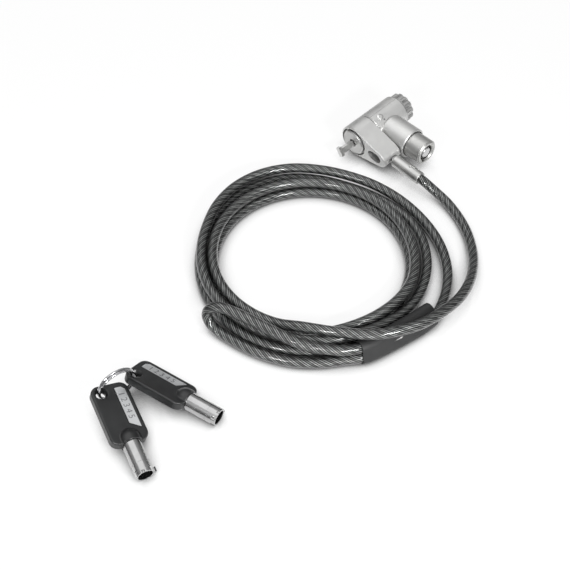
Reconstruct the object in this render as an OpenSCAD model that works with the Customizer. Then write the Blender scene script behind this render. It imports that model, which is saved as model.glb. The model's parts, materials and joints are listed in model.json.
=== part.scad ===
// Keyed laptop cable lock: T-bar lock head, swivel collar, coiled steel cable with an eye, and two
// tubular keys on a split ring. Millimetres, +Z up. The origin is the centre of the nose's seating
// face. The barrel runs toward +X, the plunger and the ferrule toward -Y, and the floor is z = -10.

/* [Barrel and collar] */
// Diameter of the round barrel and of the collar's big end
barrel_d = 20.2; // [18:0.1:24]
// Length of the barrel behind the collar
barrel_len = 22.7; // [20:0.1:28]
// Tilt of the barrel as it lies, knob end up
head_tilt = 6; // [0:0.5:10]
// Thickness of the swivel collar
collar_t = 13; // [12:0.1:16]
// Distance from the barrel's axis to the centre of the collar's small end
collar_reach = 20.6; // [20:0.1:26]
// Diameter of the collar's small end
collar_end_d = 9.8; // [9:0.1:12]
// Angle by which the collar's small end hangs below the horizontal
collar_dip = 3; // [0:0.5:12]
// Diameter of the spigot that the collar turns on
spigot_d = 15.2; // [13:0.1:16]

/* [Nose and T-bar] */
// Diameter of the nose's seating face
nose_d = 15.8; // [14:0.1:17]
// Distance by which the nose stands out of the collar
nose_out = 1; // [0.5:0.1:2]
// Distance by which the T-bar stands out of the nose
tbar_out = 11; // [8:0.1:14]
// Width of the T-bar's head
tbar_w = 5.8; // [5:0.1:7]
// Thickness of the T-bar's head and shank
tbar_t = 2.9; // [2.4:0.1:3.2]
// Angle to which the T-bar is turned about the barrel's axis
tbar_turn = 58; // [0:1:90]
// Length of the T-bar's head along the barrel
tbar_head = 2; // [1.5:0.1:3]

/* [Knob] */
// Diameter of the fluted knob
knob_d = 17.8; // [16:0.1:20]
// Length of the knob
knob_len = 6.2; // [5:0.1:9]
// Number of flutes around the knob
flutes = 12; // [8:1:16]

/* [Lock cylinder] */
// Outside diameter of the side housing
housing_d = 18.2; // [17.8:0.1:19]
// Distance from the barrel's axis to the end of the side housing
housing_reach = 26.1; // [25:0.1:30]
// Diameter of the plunger that slides in the housing
plunger_d = 15.2; // [14.6:0.1:15.4]
// Distance by which the plunger stands out of the housing
plunger_out = 11.2; // [10:0.1:14]
// Travel of the plunger when it is pressed
stroke = 4.6; // [3:0.1:5]
// Outside diameter of the ring-shaped keyway
keyway_d = 9.4; // [9.2:0.1:10]
// Diameter of the post in the middle of the keyway
post_d = 6.5; // [6:0.1:6.7]
// Depth of the keyway
keyway_deep = 4.3; // [3.5:0.1:5]

/* [Cable] */
// Diameter of the coated cable
cable_d = 5.5; // [4:0.1:5.6]
// Outside diameter of the ferrule
ferrule_d = 7.5; // [7.2:0.1:9]
// Length of the ferrule
ferrule_len = 20.3; // [18:0.1:26]
// Wall of the sleeve over the eye's crimp
sleeve_wall = 0.5; // [0.4:0.1:0.8]

/* [Keys and ring] */
// Outside diameter of a key's tube
key_tube_d = 8.7; // [8.5:0.1:9]
// Bore of a key's tube
key_bore_d = 7.1; // [6.8:0.1:7.3]
// Length of a key from the bow's end to the tube's tip
key_len = 49; // [46:0.5:60]
// Length of a key's bow
bow_len = 32.5; // [30:0.5:34]
// Width of a key's bow
bow_w = 18.4; // [17:0.1:22]
// Thickness of a key's bow
bow_t = 4.5; // [4:0.1:5]
// Corner radius of a key's bow
bow_corner = 4.2; // [3:0.1:5]
// Diameter of the hole for the ring
ring_hole = 4.4; // [4.2:0.1:5]
// Radius of the split ring to the middle of its wire
ring_r = 9.5; // [9.3:0.1:9.7]
// Diameter of the split ring's wire
ring_wire = 1.3; // [1.1:0.1:1.4]

/* [Hidden] */

// Gap between pieces that move past each other, and the radial play of a turning or sliding fit
gap = 0.3;
play = 0.05;
floor_z = -10;

// Stations along the barrel's axis
nose_t = nose_out + 2.9;
collar_x1 = nose_out + collar_t;
body_x0 = collar_x1 + gap;
body_x1 = body_x0 + barrel_len;
knob_x0 = body_x1 + gap;
knob_x1 = knob_x0 + knob_len;
housing_x = body_x0 + housing_d / 2 + 0.3;
housing_p0 = 7.2;
barrel_r = barrel_d / 2;
spindle_d = 6;
disc_r = 6;
cavity_r = disc_r + 0.5;
bolt_p0 = disc_r + 0.8;

// Stations along the housing's axis, measured from the barrel's axis
seat_p = cavity_r + 1.7;
face_p = housing_reach + plunger_out;
shell_p = seat_p + stroke + 0.5;
shell_bore_r = keyway_d / 2 + 0.75;
plug_r = shell_bore_r - play;
groove_p = face_p - 0.5 - keyway_deep;
plug_p0 = groove_p - 5.7;
driver_p1 = plug_p0 - gap;
driver_p0 = driver_p1 - 7.2;
pin_ring = (keyway_d + post_d) / 4 + 0.02;
pin_pitch = 360 / 7;

// Centre line of the collar's long axis, and the ferrule's run
pin_x = (nose_out + collar_x1) / 2 + 0.5;
collar_end_p = collar_reach + collar_end_d / 2;
pocket_p0 = 11.7;
pocket_p1 = collar_end_p - 3.7;
pocket_w = 6.2;
ferrule_p0 = collar_end_p + 1;
ferrule_p1 = ferrule_p0 + ferrule_len;

// Places of the keys: the middle of the bow's end, its heading, its slope and its roll
key_1_at = [-206.5, -44.4, -1];
key_1_turn = [-18.6, 5.4, -104.8];
key_2_at = [-191, -43.8, -2.3];
key_2_turn = [-27.1, 3.9, -72.4];
hole_at = [4.4, -4.4];
ring_at = [-202.7, -48.3, 1.2];
ring_turn = [93, 0, -4.4];

// ---- helpers ----

module head() {
    rotate([0, -head_tilt, 0])
        children();
}

module along_x(x0, x1, d, n = 48) {
    translate([x0, 0, 0])
        rotate([0, 90, 0])
            cylinder(h = x1 - x0, d = d, $fn = n);
}

module along_p(p0, p1, d, n = 48) {
    translate([0, -p0, 0])
        rotate([90, 0, 0])
            cylinder(h = p1 - p0, d = d, $fn = n);
}

module turned_x(points, n = 48) {
    rotate([0, 90, 0])
        rotate_extrude($fn = n)
            polygon(points);
}

module turned_p(points, n = 48) {
    rotate([90, 0, 0])
        rotate_extrude($fn = n)
            polygon(points);
}

// The frame of the collar's long axis: local -Y runs down the small end
module collar_frame() {
    head()
        rotate([collar_dip, 0, 0])
            children();
}

module housing_frame() {
    head()
        translate([housing_x, 0, 0])
            children();
}

function unit(v) = v / norm(v);
function clamp_i(P, i) = P[max(0, min(len(P) - 1, i))];
function tangent(P, i) = unit(clamp_i(P, i + 1) - clamp_i(P, i - 1));

// Side vectors carried along a path without twist
function sides_of(P, first) = [
    for (i = 0, u = unit(first - (first * tangent(P, 0)) * tangent(P, 0));
         i < len(P);
         i = i + 1, u = unit(u - (u * tangent(P, i)) * tangent(P, i)))
        u
];

function round_rings(P, r, n) = let (U = sides_of(P, [0.02, 0.03, 1])) [
    for (i = [0:len(P) - 1]) let (t = tangent(P, i), v = cross(t, U[i])) [
        for (k = [0:n - 1]) P[i] + r * (cos(360 * k / n) * U[i] + sin(360 * k / n) * v)
    ]
];

function side_faces(m, n, from, to) = [
    for (k = [0:n - 1]) for (f = [0, 1])
        f == 0 ? [from * n + k, from * n + (k + 1) % n, to * n + (k + 1) % n]
               : [from * n + k, to * n + (k + 1) % n, to * n + k]
];

module loft(rings, closed = false) {
    m = len(rings);
    n = len(rings[0]);
    walls = [for (i = [0:m - 2]) each side_faces(m, n, i, i + 1)];
    last = closed ? side_faces(m, n, m - 1, 0)
                  : [[for (k = [n - 1:-1:0]) k], [for (k = [0:n - 1]) (m - 1) * n + k]];
    polyhedron(points = [for (r = rings) each r], faces = concat(walls, last), convexity = 8);
}

module tube(P, d, n) {
    loft(round_rings(P, d / 2, n));
}

// Smooth curve through hand-set points, several steps to each stretch
function catmull(a, b, c, d, t) = 0.5 * ((2 * b) + (c - a) * t + (2 * a - 5 * b + 4 * c - d) * t * t
    + (3 * b - a - 3 * c + d) * t * t * t);
function curve(P, steps) = [
    for (i = [0:len(P) - 2]) for (s = [0:steps - 1])
        catmull(clamp_i(P, i - 1), P[i], P[i + 1], clamp_i(P, i + 2), s / steps),
    P[len(P) - 1]
];

// Smooth value between knots [angle, radius, height]
function knot(K, a, i = 0) = (i >= len(K) - 2 || a < K[i + 1][0]) ? i : knot(K, a, i + 1);
function rise(K, i, c) = let (p = clamp_i(K, i - 1), q = clamp_i(K, i + 1)) (q[c] - p[c]) / (q[0] - p[0]);
function between(K, a, c) = let (
    i = knot(K, a),
    h = K[i + 1][0] - K[i][0],
    t = (a - K[i][0]) / h,
    t2 = t * t,
    t3 = t2 * t
) (2 * t3 - 3 * t2 + 1) * K[i][c] + (t3 - 2 * t2 + t) * h * rise(K, i, c)
  + (3 * t2 - 2 * t3) * K[i + 1][c] + (t3 - t2) * h * rise(K, i + 1, c);

module helix(d, wire, length, turns, per_turn = 12, n = 6) {
    r = (d - wire) / 2;
    steps = ceil(turns * per_turn);
    P = [for (i = [0:steps]) let (a = 360 * turns * i / steps)
        [r * cos(a), r * sin(a), wire / 2 + (length - wire) * i / steps]];
    tube(P, wire, n);
}

// ---- collar and nose ----

// Drop-shaped collar: big end, small end and the straight-sided middle between them
module drop_body() {
    c = 0.5;
    R = barrel_r;
    r = collar_end_d / 2;
    a = acos((R - r) / collar_reach);
    seam = 0.02;
    x0 = nose_out;
    x1 = collar_x1;
    turned_x([[0, x0], [R - c, x0], [R, x0 + c], [R, x1 - c], [R - c, x1], [0, x1]]);
    translate([0, -collar_reach, 0])
        turned_x([[0, x0], [r - c, x0], [r, x0 + c], [r, x1 - c], [r - c, x1], [0, x1]], 32);
    difference() {
        translate([x0, 0, 0])
            rotate([90, 0, 90])
                linear_extrude(height = x1 - x0)
                    polygon([
                        [-R * cos(a), R * sin(a) - seam], [-R * cos(a), -R * sin(a) + seam],
                        [-collar_reach - r * cos(a), -r * sin(a) + seam],
                        [-collar_reach - r * cos(a), r * sin(a) - seam]
                    ]);
        // bevels along the two straight sides, front and back
        for (s = [-1, 1]) for (e = [0, 1])
            translate([e == 0 ? x0 : x1, -R * cos(a), s * R * sin(a)])
                rotate([s * (90 - a), 0, 0])
                    rotate([90, 0, 0])
                        translate([0, 0, -12])
                            linear_extrude(height = 60)
                                rotate(45)
                                    square(c * 1.4142, center = true);
    }
}

module swivel_collar() color("silver") collar_frame() difference() {
    drop_body();
    along_x(nose_out - 1, collar_x1 + 1, spigot_d + 2 * play, 64);
    along_x(nose_out - 1, nose_t + gap, barrel_d - 1.9, 64);
    // pocket for the head of the swivel pin, open at the front
    translate([nose_out - 1, -(pocket_p0 + pocket_p1) / 2, 0])
        rotate([0, 90, 0])
            linear_extrude(height = pin_x + 2.6 + gap)
                pocket_outline();
    // hole for the neck of the swivel pin
    translate([pin_x, 0, 0])
        along_p(pocket_p1 - 1.1, collar_end_p + 1, 3 + 2 * play, 32);
}

module pocket_outline() {
    reach = (pocket_p1 - pocket_p0 - pocket_w) / 2;
    polygon([
        for (s = [1, -1]) for (k = [0:12])
            [s * pocket_w / 2 * cos(15 * k), s * (reach + pocket_w / 2 * sin(15 * k))]
    ]);
}

module nose_plate() color("gainsboro") head() difference() {
    turned_x([
        [0, 0], [nose_d / 2 - 0.6, 0], [nose_d / 2, 0.6], [nose_d / 2, nose_out + 1.7],
        [nose_d / 2 + 0.7, nose_out + 1.7], [nose_d / 2 + 0.7, nose_t], [0, nose_t]
    ], 64);
    along_x(-1, 1.4, 5);
    along_x(1.3, nose_t + 1, spindle_d + 2 * gap);
}

// ---- barrel, cover and small fittings ----

module barrel_round() {
    c = 0.5;
    turned_x([
        [0, body_x0], [barrel_r - c, body_x0], [barrel_r, body_x0 + c],
        [barrel_r, body_x1 - c], [barrel_r - c, body_x1], [0, body_x1]
    ], 64);
}

module barrel_bores() {
    along_x(body_x0 - 0.01, body_x1 + 1, spindle_d + 2 * play);
    along_x(body_x0 + 1.7, body_x1 - 2.2, 2 * cavity_r);
    along_x(body_x1 - 0.9, body_x1 + 1, 12.4);
}

module lock_body() color("silver") difference() {
    union() {
        head()
            along_x(nose_t, body_x0 + 1, spigot_d, 64);
        head() intersection() {
            barrel_round();
            translate([0, -30, -20])
                cube([60, 30, 40]);
        }
        housing_frame()
            turned_p(concat(
                [for (k = [0:4]) [
                    housing_d / 2 - 1.2 + 1.2 * sin(22.5 * k),
                    housing_p0 + 1.2 - 1.2 * cos(22.5 * k)
                ]],
                [
                    [housing_d / 2, housing_reach - 0.4], [housing_d / 2 - 0.4, housing_reach],
                    [0, housing_reach], [0, housing_p0]
                ]
            ), 64);
    }
    head()
        along_x(nose_t - 1, body_x0 + 3, spindle_d + 2 * play);
    head()
        barrel_bores();
    housing_frame() {
        along_p(0, seat_p + 1, 3.6, 32);
        along_p(seat_p, housing_reach + 1, plunger_d + 2 * play, 64);
        along_p(housing_reach - 2.4, housing_reach + 1, housing_d - 1.8, 64);
    }
    rivet_place(19.6, 20)
        cylinder(h = 8, d = 2.2, center = true, $fn = 24);
    rivet_place(20.8, 35.3)
        cylinder(h = 5, d = 1.2, center = true, $fn = 24);
    stop_place()
        cylinder(h = 12, d = 2, $fn = 24);
}

// A place on the barrel's surface: distance along the axis and angle from the top toward the housing
module rivet_place(x, a) {
    head()
        rotate([a, 0, 0])
            translate([x + body_x0 - 14.3, 0, barrel_r])
                children();
}

module stop_place() {
    housing_frame()
        translate([0, -shell_p - 4, -plunger_d / 2 + 1.2])
            rotate([180, 0, 0])
                children();
}

module back_cover() color("silver") head() difference() {
    intersection() {
        barrel_round();
        translate([0, 0, -20])
            cube([60, 30, 40]);
    }
    barrel_bores();
    // fine groove that shows the joint between cover and body
    for (s = [-1, 1])
        translate([body_x0 - 1, 0, s * barrel_r])
            rotate([45, 0, 0])
                translate([0, -0.4, -0.4])
                    cube([barrel_len + 2, 0.8, 0.8]);
}

module body_rivet() color("gainsboro") rivet_place(19.6, 20) {
    translate([0, 0, -3.4])
        cylinder(h = 3.4, d = 2.2, $fn = 24);
    translate([0, 0, -0.1])
        cylinder(h = 0.4, d = 3.6, $fn = 32);
    translate([0, 0, 0.3])
        cylinder(h = 0.3, d1 = 3.6, d2 = 2.4, $fn = 32);
}

module dowel_pin() color("gray") rivet_place(20.8, 35.3) {
    translate([0, 0, -2.5])
        cylinder(h = 2.5, d = 1.2, $fn = 24);
}

module stop_pin() color("gray") stop_place() {
    cylinder(h = housing_d / 2 - plunger_d / 2 + 1.1, d = 2, $fn = 24);
}

module plunger_spring() color("lightgray") housing_frame() translate([0, -seat_p, 0]) {
    rotate([90, 0, 0])
        helix(9.2, 1, driver_p0 - stroke - seat_p - 0.2, 4.5);
}

module knob_washer() color("lightgray") head() difference() {
    along_x(body_x1 - 0.9, body_x1, 12.2);
    along_x(body_x1 - 2, body_x1 + 1, spindle_d + 1);
}

// ---- T-bar, spindle and knob ----

module t_bar() color("gainsboro") head() {
    rotate([tbar_turn, 0, 0]) {
        translate([-tbar_out, -tbar_w / 2, -tbar_t / 2])
            cube([tbar_head, tbar_w, tbar_t]);
        translate([-tbar_out + 0.5, -1.7, -tbar_t / 2])
            cube([tbar_out + 2, 3.4, tbar_t]);
    }
    // spindle and lock disc, with two deep holes for the bolt joined by a shallow track
    difference() {
        union() {
            along_x(2, knob_x0 + 3.4, spindle_d);
            along_x(housing_x - 4.4, housing_x + 4.4, 2 * disc_r);
        }
        for (a = [0, -90])
            rotate([a, 0, 0])
                translate([housing_x, 0, 0])
                    along_p(bolt_p0 - stroke - 0.2, disc_r + 1, 3.6, 32);
        translate([housing_x, 0, 0])
            bolt_track();
    }
}

module bolt_track() {
    rotate([90, 0, 90])
        translate([0, 0, -1.9])
            linear_extrude(height = 3.8)
                difference() {
                    polygon([[0, 0], [4, 9], [0, 13], [-9, 9], [-9, 1]]);
                    circle(r = 3.4, $fn = 48);
                }
}

module knob() color("silver") head() difference() {
    union() {
        turned_x([
            [0, knob_x0], [knob_d / 2 - 0.4, knob_x0], [knob_d / 2, knob_x0 + 0.4],
            [knob_d / 2, knob_x1 - 0.8], [knob_d / 2 - 0.8, knob_x1], [0, knob_x1]
        ], 64);
    }
    for (i = [0:flutes - 1])
        rotate([360 * i / flutes, 0, 0])
            translate([knob_x0 + 1, 0, knob_d / 2 + 0.3])
                rotate([0, 90, 0])
                    cylinder(h = knob_len + 1, d = knob_d * 0.2, $fn = 24);
    along_x(knob_x0 - 1, knob_x0 + 3.4, spindle_d);
    along_x(knob_x0 + 3, knob_x1 + 1, 3);
    translate([knob_x1 - 1.6, 0, 0])
        rotate([0, 90, 0])
            cylinder(h = 1.61, d1 = 3, d2 = 6.2, $fn = 32);
}

module knob_screw() color("gray") head() difference() {
    union() {
        along_x(knob_x0 + 3.4, knob_x1 - 1.6, 3, 32);
        translate([knob_x1 - 1.6, 0, 0])
            rotate([0, 90, 0])
                cylinder(h = 1.4, d1 = 3, d2 = 5.8, $fn = 32);
    }
    for (a = [0, 90])
        rotate([a, 0, 0])
            translate([knob_x1 - 1.1, -1.8, -0.4])
                cube([2, 3.6, 0.8]);
}

// ---- lock cylinder ----

module plunger_shell() color("gainsboro") housing_frame() difference() {
    turned_p([
        [shell_bore_r, shell_p], [plunger_d / 2 - 0.4, shell_p], [plunger_d / 2, shell_p + 0.4],
        [plunger_d / 2, face_p - 0.9], [plunger_d / 2 - 0.9, face_p], [keyway_d / 2 + 0.8, face_p],
        [keyway_d / 2, face_p - 0.8], [keyway_d / 2, groove_p + gap], [shell_bore_r, groove_p + gap]
    ], 64);
    // notch for the key's nib, at the lower side of the keyway
    rotate([0, 35, 0])
        translate([-1.1, -face_p - 1, -keyway_d / 2 - 1.2])
            cube([2.2, keyway_deep + 1, 2.4]);
    // slot that the stop pin runs in
    translate([-1.3, -shell_p - 4 - stroke - 1.3, -plunger_d / 2 - 1])
        cube([2.6, stroke + 2.6, 2.3]);
}

module driver_block() color("tan") housing_frame() difference() {
    along_p(driver_p0, driver_p1, 2 * shell_bore_r);
    for (i = [0:6])
        rotate([0, i * pin_pitch, 0])
            translate([0, 0, pin_ring])
                along_p(driver_p0 + 0.6, driver_p1 + 1, 1.24, 16);
    along_p(driver_p0 - 1, driver_p0 + 2, 3, 32);
}

module locking_bolt() color("gray") housing_frame() {
    along_p(bolt_p0, bolt_p0 + 0.7, 2.6, 32);
    along_p(bolt_p0 + 0.6, driver_p0 + 2, 3, 32);
}

module pin_springs() color("lightgray") housing_frame() {
    for (i = [0:6])
        rotate([0, i * pin_pitch, 0])
            translate([0, -driver_p0 - 0.6, pin_ring])
                rotate([90, 0, 0])
                    helix(1.1, 0.26, 1.9, 3, 8, 4);
}

module plug() color("gold") housing_frame() difference() {
    along_p(plug_p0, groove_p, 2 * plug_r);
    for (i = [0:6])
        rotate([0, i * pin_pitch, 0])
            translate([0, 0, pin_ring])
                along_p(plug_p0 - 1, groove_p + 1, 1.24, 16);
}

// Post in the middle of the ring-shaped keyway
module keyway_post() color("silver") housing_frame()
    turned_p([
        [0, groove_p], [post_d / 2, groove_p], [post_d / 2, face_p - 0.9],
        [post_d / 2 - 0.4, face_p - 0.5], [0, face_p - 0.5]
    ]);

module key_pins() color("lightgray") housing_frame() {
    for (i = [0:6])
        rotate([0, i * pin_pitch, 0])
            translate([0, 0, pin_ring])
                along_p(plug_p0 + 0.1, groove_p - 0.3 + 0.2 * (i % 3), 1.14, 16);
}

module driver_pins() color("silver") housing_frame() {
    for (i = [0:6])
        rotate([0, i * pin_pitch, 0])
            translate([0, 0, pin_ring])
                along_p(driver_p0 + 3.7, driver_p1 - 0.1, 1.14, 16);
}

// ---- ferrule and cable ----

module swivel_pin() color("gray") collar_frame() translate([pin_x, 0, 0]) {
    along_p(pocket_p1 - 3.2, pocket_p1 - 1.2, 3.9, 32);
    along_p(pocket_p1 - 1.3, ferrule_p0 + 4, 3, 32);
}

module ferrule() color("silver") collar_frame() translate([pin_x, 0, 0]) difference() {
    turned_p([
        [0, ferrule_p0], [ferrule_d / 2 - 0.9, ferrule_p0], [ferrule_d / 2 - 0.4, ferrule_p0 + 0.9],
        [ferrule_d / 2, ferrule_p0 + 1], [ferrule_d / 2, ferrule_p1 - 0.4],
        [ferrule_d / 2 - 0.4, ferrule_p1], [0, ferrule_p1]
    ]);
    along_p(ferrule_p0 - 1, ferrule_p0 + 4, 3, 32);
    along_p(ferrule_p1 - 14, ferrule_p1 + 1, cable_d + 0.04, 32);
    // crimp mark on the upper side
    translate([0, -ferrule_p0 - 12, ferrule_d / 2 + 0.9])
        sphere(d = 2.6, $fn = 24);
}

// Point on the ferrule's centre line at a distance along the collar's long axis
function on_collar(x, p) = let (
    y = -p * cos(collar_dip),
    z = -p * sin(collar_dip)
) [x * cos(head_tilt) - z * sin(head_tilt), y, x * sin(head_tilt) + z * cos(head_tilt)];

function up(x, y, h) = [x, y, floor_z + h];

lead_route = [
    on_collar(pin_x, ferrule_p1 - 13),
    on_collar(pin_x, ferrule_p1 - 6),
    on_collar(pin_x, ferrule_p1),
    on_collar(pin_x, ferrule_p1 + 3),
    up(9.7, -58, 4.9), up(9.2, -67, 3.6), up(6.4, -77, 2.9), up(2, -86.5, 2.8), up(-4, -95.5, 2.8),
    up(-12.5, -104.5, 3.4), up(-23, -112, 5.4), up(-33.5, -117.2, 8), up(-44.4, -120.6, 10.6),
    up(-55.8, -121.8, 12.8), up(-64.6, -121.8, 14.4), up(-74.4, -120.6, 15.4),
    up(-84.4, -117, 15.9), up(-92.8, -112.4, 15.9), up(-98.6, -107.4, 15.6)
];

// The coil: angle around its centre, radius and height above the floor. Angles run clockwise.
coil_centre = [-77, -46.5];
coil_step = 15;
coil_knots = [
    [3, 58.2, 15.1], [10, 55.8, 14.8], [17, 53.6, 13.4], [24, 52.2, 11.4], [30, 51.6, 10],
    [38, 51.1, 8.9], [50, 51.2, 8.7], [78, 51.8, 8.7], [93, 52.2, 8.7], [105, 52.5, 8.7],
    [120, 53.1, 8.7], [150, 53.8, 8.7], [170, 53.8, 8.7], [188, 53.6, 8.7], [206, 53.4, 8.7],
    [224, 53.4, 8.7], [240, 53.6, 8.7], [275, 54, 8.7], [300, 55.1, 8.7], [312, 54.6, 8.7],
    [325, 53.6, 8.7], [340, 52.9, 8.6], [356, 52.4, 8], [366, 52.2, 6.4], [376, 52.1, 4.6],
    [386, 52, 3.3], [398, 52, 2.9], [414, 52.2, 2.8], [430, 52.3, 2.8], [465, 52, 2.8],
    [500, 52.2, 2.8], [546, 52.2, 2.8], [600, 52.4, 2.8], [640, 52.8, 2.8], [682, 53.7, 2.8],
    [712, 57.9, 2.8], [740, 60.6, 2.8], [780, 60.4, 2.8], [820, 59.6, 2.8], [850, 61.2, 2.8],
    [866, 63.4, 2.8], [880, 64.9, 2.8], [896, 65, 2.8], [910, 63.8, 2.8], [924, 61.4, 2.8],
    [940, 60.2, 2.8], [962, 61.3, 2.8], [978, 62.7, 2.8], [996, 62.2, 2.8], [1018, 61, 2.9],
    [1032, 60.1, 3.6], [1044, 59.5, 5.7], [1054, 59, 7.6], [1064, 58.7, 8.7], [1076, 58.4, 9],
    [1110, 57.7, 8.8], [1150, 58, 8.8], [1170, 58.2, 8.8], [1186, 58.6, 8.8], [1200, 59.6, 8.8],
    [1216, 62.6, 8.8], [1228, 64.8, 8.8], [1240, 66.4, 8.8], [1256, 66.8, 8.7], [1270, 65.8, 8.5],
    [1284, 64.6, 7.8], [1300, 65.2, 6.6], [1316, 66.8, 5], [1330, 68.4, 3.5], [1344, 70, 2.8],
    [1358, 71.6, 2.8], [1370, 72.6, 2.8], [1382, 73.2, 2.8]
];
function coil_point(a) = let (
    r = between(coil_knots, a, 1),
    t = -(a + 78 + 42)
) up(coil_centre[0] + r * cos(t), coil_centre[1] + r * sin(t), between(coil_knots, a, 2));

coil_first = coil_knots[0][0];
coil_last = coil_knots[len(coil_knots) - 1][0];
coil_count = round((coil_last - coil_first) / coil_step);
coil_path = [
    for (i = [0:coil_count]) coil_point(coil_first + (coil_last - coil_first) * i / coil_count)
];

// The lead runs on into the coil's first point
lead_path = concat(curve(lead_route, 2), [coil_point(coil_first)]);

module cable_lead() color("dimgray") {
    tube(lead_path, cable_d, 8);
}

module cable_coil() color("dimgray") {
    tube(coil_path, cable_d, 6);
}

// The sleeve's centre line from the cable's side to the eye's side, with its lean from the horizontal
sleeve_line = [
    up(-58.5, -115.6, 5.5), up(-68, -115.2, 5.6), up(-78, -113.9, 5.8), up(-88, -112.4, 6),
    up(-96, -111, 6.2), up(-103, -109, 6.4)
];
sleeve_lean = [56, 58, 62, 67, 71, 74];
strand_off = cable_d / 2 + 0.1;
function lean_way(i) = let (
    t = tangent(sleeve_line, i),
    s = unit(cross([0, 0, 1], t))
) -cos(sleeve_lean[i]) * s + sin(sleeve_lean[i]) * cross(t, s);
function lower_strand(i) = sleeve_line[i] - strand_off * lean_way(i);
function upper_strand(i) = sleeve_line[i] + strand_off * lean_way(i);

eye_route = [
    up(-109.5, -105.2, 2.9), up(-119.7, -98.3, 2.9), up(-129.9, -88, 2.9), up(-137.4, -75.3, 2.9),
    up(-141.5, -63.4, 2.9), up(-143.9, -52.6, 2.9), up(-144.8, -47.6, 3.8), up(-145, -44.2, 6),
    up(-144.5, -42.4, 9), up(-143, -42.6, 12), up(-140.8, -45.4, 14.4), up(-137.9, -50.6, 15.1),
    up(-134, -61.5, 15), up(-131.3, -71.1, 15), up(-129, -79, 15), up(-125, -89, 14.2),
    up(-118.4, -96.6, 11.6), up(-110, -104.2, 9.8)
];
eye_path = concat(
    [coil_path[coil_count]],
    [for (i = [0:5]) lower_strand(i)],
    curve(eye_route, 2),
    [for (i = [5:-1:1]) upper_strand(i)]
);

module cable_eye() color("dimgray") {
    tube(eye_path, cable_d, 8);
}

// Two-strand outline: two half circles joined by straight sides
function pill(r) = [
    for (k = [0:7]) [strand_off + r * cos(-90 + 180 * k / 7), r * sin(-90 + 180 * k / 7)],
    for (k = [0:7]) [-strand_off + r * cos(90 + 180 * k / 7), r * sin(90 + 180 * k / 7)]
];
function pill_ring(i, r) = let (
    w = lean_way(i),
    v = cross(tangent(sleeve_line, i), w)
) [for (q = pill(r)) sleeve_line[i] + q[0] * w + q[1] * v];

module pill_tube(first, last, r_in, r_out) {
    loft(concat(
        [for (i = [first:last]) pill_ring(i, r_out)],
        [for (i = [last:-1:first]) pill_ring(i, r_in)]
    ), true);
}

crimp_r = cable_d / 2 + 0.6;
module eye_crimp() color("silver") {
    pill_tube(2, 3, cable_d / 2 + 0.1, crimp_r);
}

module sleeve() color("#26282a") {
    pill_tube(0, 5, crimp_r + 0.05, crimp_r + 0.05 + sleeve_wall);
}

// ---- keys and ring ----

module key_place(at, turn) {
    translate(at)
        rotate(turn)
            children();
}

module bow_outline(inset) {
    r = bow_corner - inset;
    for (y = [-1, 1]) for (x = [bow_corner, bow_len - bow_corner])
        translate([x, y * (bow_w / 2 - bow_corner)])
            circle(r = r, $fn = 32);
    translate([inset, -bow_w / 2 + bow_corner])
        square([bow_len - 2 * inset, bow_w - 2 * bow_corner]);
    translate([bow_corner, -bow_w / 2 + inset])
        square([bow_len - 2 * bow_corner, bow_w - 2 * inset]);
}

module bow_slab(t, inset) {
    translate([0, 0, -t / 2])
        linear_extrude(height = t)
            bow_outline(inset);
}

plate_y0 = bow_w / 2 - 6.8;
plate_y1 = bow_w / 2 - 2.1;
module plate_outline(grow) {
    polygon([
        [3 - grow, plate_y0 - grow], [3 - grow, plate_y1 - 1.5], [4.6 - grow, plate_y1 + grow],
        [bow_len - 6.5 + grow * 2, plate_y1 + grow], [bow_len - 9.8 + grow, plate_y0 - grow]
    ]);
}

// Domed boss around the tube's root, and where the tube starts in it
boss_r = key_tube_d / 2 + 0.85;
tube_x0 = bow_len - 4.2;
function boss_outline() = concat(
    [[0, bow_len], [boss_r, bow_len]],
    [for (k = [0:7]) [
        boss_r * cos(90 * k / 7),
        bow_len - 2.4 - boss_r * sin(90 * k / 7)
    ]]
);

module key_bow() {
    difference() {
        union() {
            bow_slab(bow_t - 1, 0);
            bow_slab(bow_t - 0.4, 0.25);
            bow_slab(bow_t, 0.6);
            turned_x(boss_outline(), 40);
        }
        // socket for the tube
        translate([tube_x0, 0, 0])
            rotate([0, 90, 0])
                cylinder(h = 10, d = key_tube_d, $fn = 48);
        // ring hole, flared at both faces
        translate([hole_at[0], hole_at[1], 0]) {
            cylinder(h = bow_t + 2, d = ring_hole, center = true, $fn = 32);
            translate([0, 0, 0.3])
                cylinder(h = bow_t / 2 - 0.25, d1 = ring_hole, d2 = ring_hole + 1.8, $fn = 32);
            translate([0, 0, -bow_t / 2 - 0.05])
                cylinder(h = bow_t / 2 - 0.25, d1 = ring_hole + 1.8, d2 = ring_hole, $fn = 32);
        }
        // recess for the plate
        translate([0, 0, bow_t / 2 - 0.5])
            linear_extrude(height = 1)
                plate_outline(0.1);
    }
}

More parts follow.
